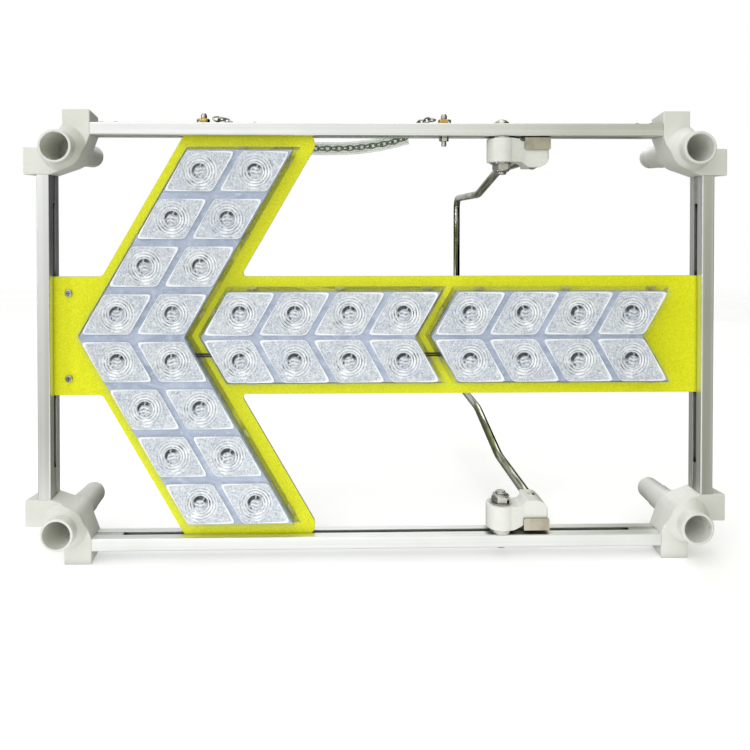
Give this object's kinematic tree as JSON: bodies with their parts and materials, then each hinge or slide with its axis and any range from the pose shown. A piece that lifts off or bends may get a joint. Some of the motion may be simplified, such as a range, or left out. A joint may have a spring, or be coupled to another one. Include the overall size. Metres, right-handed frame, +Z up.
{
  "type": "lamp arrow board",
  "caption": "Arrow-shaped reflective plate with clear lamp modules in a rectangular rail frame, stackable moulded corners, a swing-out rod stand and a chain handle.",
  "frame": {"origin": "under the middle of the board with its stand open, at the level of the lower corner arms", "axes": "+X along the frame's long side, to the right of someone facing the lamps, +Y from the lamps towards the back, +Z up"},
  "size_m": [0.8298, 0.568, 0.5336],
  "materials": {
    "anodised_rail": "satin",
    "white_moulding": "satin",
    "key_zinc": "satin",
    "stainless": "polished",
    "polished_rod": "polished",
    "keeper_steel": "satin",
    "nylon": "matte",
    "brass": "satin",
    "plate_aluminium": "mill finish",
    "fluorescent_sheet": "retroreflective film",
    "clear_lens": "clear moulded",
    "module_base_grey": "matte",
    "circuit_board": "solder mask",
    "lamp_chip": "clear dome",
    "gasket_rubber": "matte",
    "wire_black": "semi-matte",
    "case_grey": "matte",
    "clear_sleeve": "clear flexible"
  },
  "bodies": {
    "board": {"anchor_bolts": "stainless", "anchor_nut": "stainless", "arrow_plate": "plate_aluminium", "bracket_rail_screws": "stainless", "brass_anchor_left": "brass", "brass_anchor_right": "brass", "cable_gland": "wire_black", "corner_bottom_left": "white_moulding", "corner_bottom_right": "white_moulding", "corner_button_screws": "stainless", "corner_key_screws": "stainless", "corner_keys": "key_zinc", "corner_top_left": "white_moulding", "corner_top_right": "white_moulding", "flasher_board": "circuit_board", "flasher_case": "case_grey", "flasher_lid": "case_grey", "flasher_lid_screws": "stainless", "handle_chain": "stainless", "handle_sleeve": "clear_sleeve", "head_circuit_board": "circuit_board", "head_lamp_chips": "lamp_chip", "head_lens_cover": "clear_lens", "head_module_base": "module_base_grey", "head_module_gasket": "gasket_rubber", "link_wires": "wire_black", "middle_circuit_board": "circuit_board", "middle_lamp_chips": "lamp_chip", "middle_lens_cover": "clear_lens", "middle_module_base": "module_base_grey", "middle_module_gasket": "gasket_rubber", "module_screws": "stainless", "pivot_bolts": "stainless", "pivot_nuts": "stainless", "pivot_washers": "nylon", "plate_clamp_screw": "stainless", "plate_end_bracket": "plate_aluminium", "plate_end_screws": "stainless", "rail_bottom": "anodised_rail", "rail_left": "anodised_rail", "rail_right": "anodised_rail", "rail_top": "anodised_rail", "reflective_sheet": "fluorescent_sheet", "tail_circuit_board": "circuit_board", "tail_lamp_chips": "lamp_chip", "tail_lens_cover": "clear_lens", "tail_module_base": "module_base_grey", "tail_module_gasket": "gasket_rubber"},
    "stand": {"stand_rod": "polished_rod", "stand_rod_pins": "stainless", "stand_bracket_upper": "white_moulding", "stand_bracket_lower": "white_moulding", "stand_keeper_upper": "keeper_steel", "stand_keeper_lower": "keeper_steel"}
  },
  "joints": [
    {"name": "stand_swing", "type": "hinge", "parent": "board", "child": "stand", "pos_m": [0.148, -0.243, 0.267], "axis": [0, 0, 1], "range_deg": [0, 90]}
  ]
}
